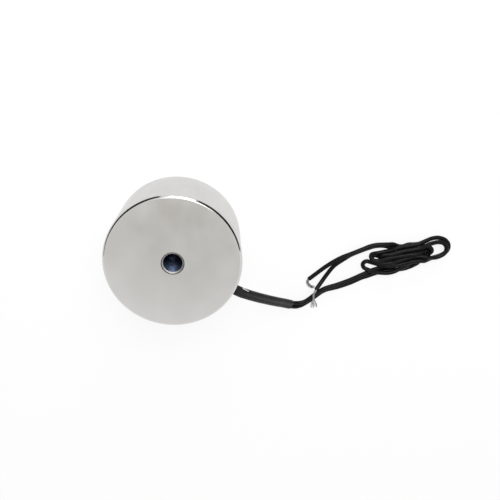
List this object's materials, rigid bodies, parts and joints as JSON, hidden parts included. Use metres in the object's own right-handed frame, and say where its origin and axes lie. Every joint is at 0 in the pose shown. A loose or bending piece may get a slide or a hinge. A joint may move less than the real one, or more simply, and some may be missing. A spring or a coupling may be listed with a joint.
{
  "type": "holding electromagnet",
  "caption": "Round nickel-plated holding electromagnet with a tapped hole in its mounting face and black flying leads folded into a hank.",
  "frame": {"origin": "middle of the holding face, which is the face the pot stands on", "axes": "+Z along the pot's axis from the holding face to the mounting face, +X towards the lead exit in the wall"},
  "size_m": [0.1245, 0.083, 0.03],
  "materials": {
    "nickel_plate": "satin nickel plate on turned steel",
    "bobbin_nylon": "natural moulded nylon",
    "enamelled_copper": "enamelled copper wire",
    "coil_tape": "polyester tape",
    "solder": "soft solder",
    "splice_tubing": "glass-fibre tubing",
    "potting_resin": "cast black epoxy",
    "heat_shrink": "black heat-shrink tubing",
    "lead_pvc": "black PVC with a soft sheen",
    "tinned_copper": "tinned copper strands"
  },
  "bodies": {
    "root": {"pot_body": "nickel_plate", "coil_bobbin": "bobbin_nylon", "coil_winding": "enamelled_copper", "coil_tape": "coil_tape", "winding_start_tail": "enamelled_copper", "winding_finish_tail": "enamelled_copper", "solder_joint_a": "solder", "solder_joint_b": "solder", "splice_sleeve_a": "splice_tubing", "splice_sleeve_b": "splice_tubing", "potting_resin": "potting_resin", "lead_sleeve": "heat_shrink", "lead_a": "lead_pvc", "lead_b": "lead_pvc", "lead_hank": "lead_pvc", "lead_a_tail": "lead_pvc", "lead_b_tail": "lead_pvc", "strand_a1": "tinned_copper", "strand_a2": "tinned_copper", "strand_a3": "tinned_copper", "strand_a4": "tinned_copper", "strand_a5": "tinned_copper", "strand_a6": "tinned_copper", "strand_a7": "tinned_copper", "strand_b1": "tinned_copper", "strand_b2": "tinned_copper", "strand_b3": "tinned_copper", "strand_b4": "tinned_copper", "strand_b5": "tinned_copper", "strand_b6": "tinned_copper", "strand_b7": "tinned_copper"}
  },
  "joints": []
}
